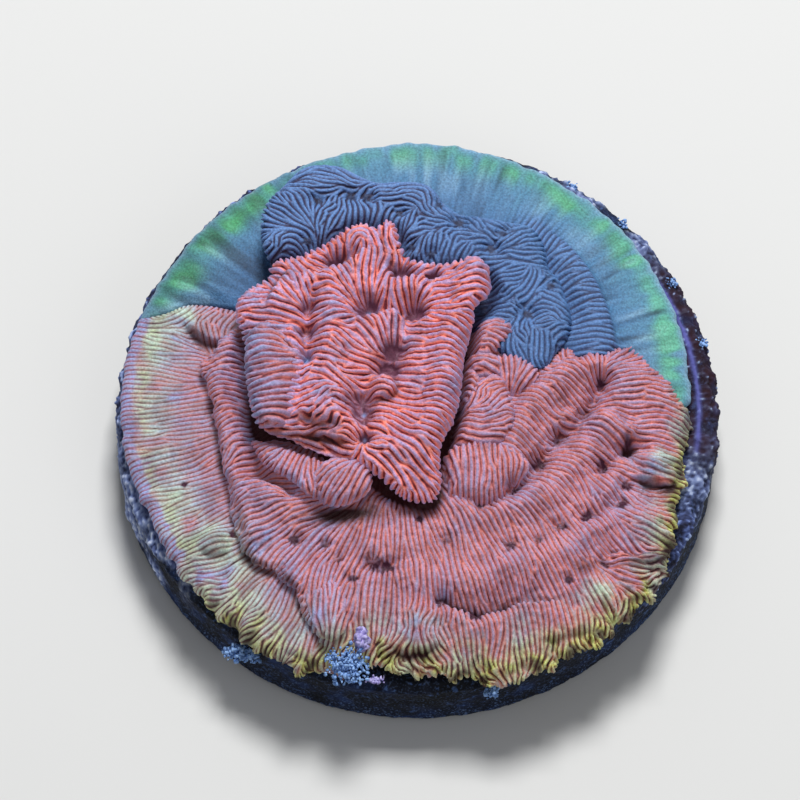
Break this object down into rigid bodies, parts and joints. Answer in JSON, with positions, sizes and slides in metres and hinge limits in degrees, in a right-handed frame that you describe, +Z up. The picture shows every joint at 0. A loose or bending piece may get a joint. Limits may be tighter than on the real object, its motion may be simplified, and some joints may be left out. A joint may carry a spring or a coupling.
{
  "type": "leptoseris coral on a frag disc",
  "caption": "Low plating coral, a red-orange colony with a folded crown grafted beside a blue-grey colony with a green rim, grown over a round flat ceramic frag disc.",
  "frame": {"origin": "centre of the disc's flat underside", "axes": "+Z up through the disc, out of the coral's top; the red colony's wide front plate faces -Y"},
  "size_m": [0.03, 0.03, 0.0094],
  "materials": {
    "disc": "matte unglazed ceramic, dark with a thin film of algae and blue-violet coralline specks",
    "grey_skin": "satin living skin over stony ridges, blue-grey with near-black grooves, green at the rim",
    "red_skin": "satin living skin over stony ridges, lavender crests, orange-red flanks, maroon grooves and yellow-green edges"
  },
  "bodies": {
    "root": {"frag_disc": "disc", "grey_colony": "grey_skin", "red_side_shelf": "red_skin", "red_front_plate": "red_skin", "red_crown": "red_skin"}
  },
  "joints": []
}
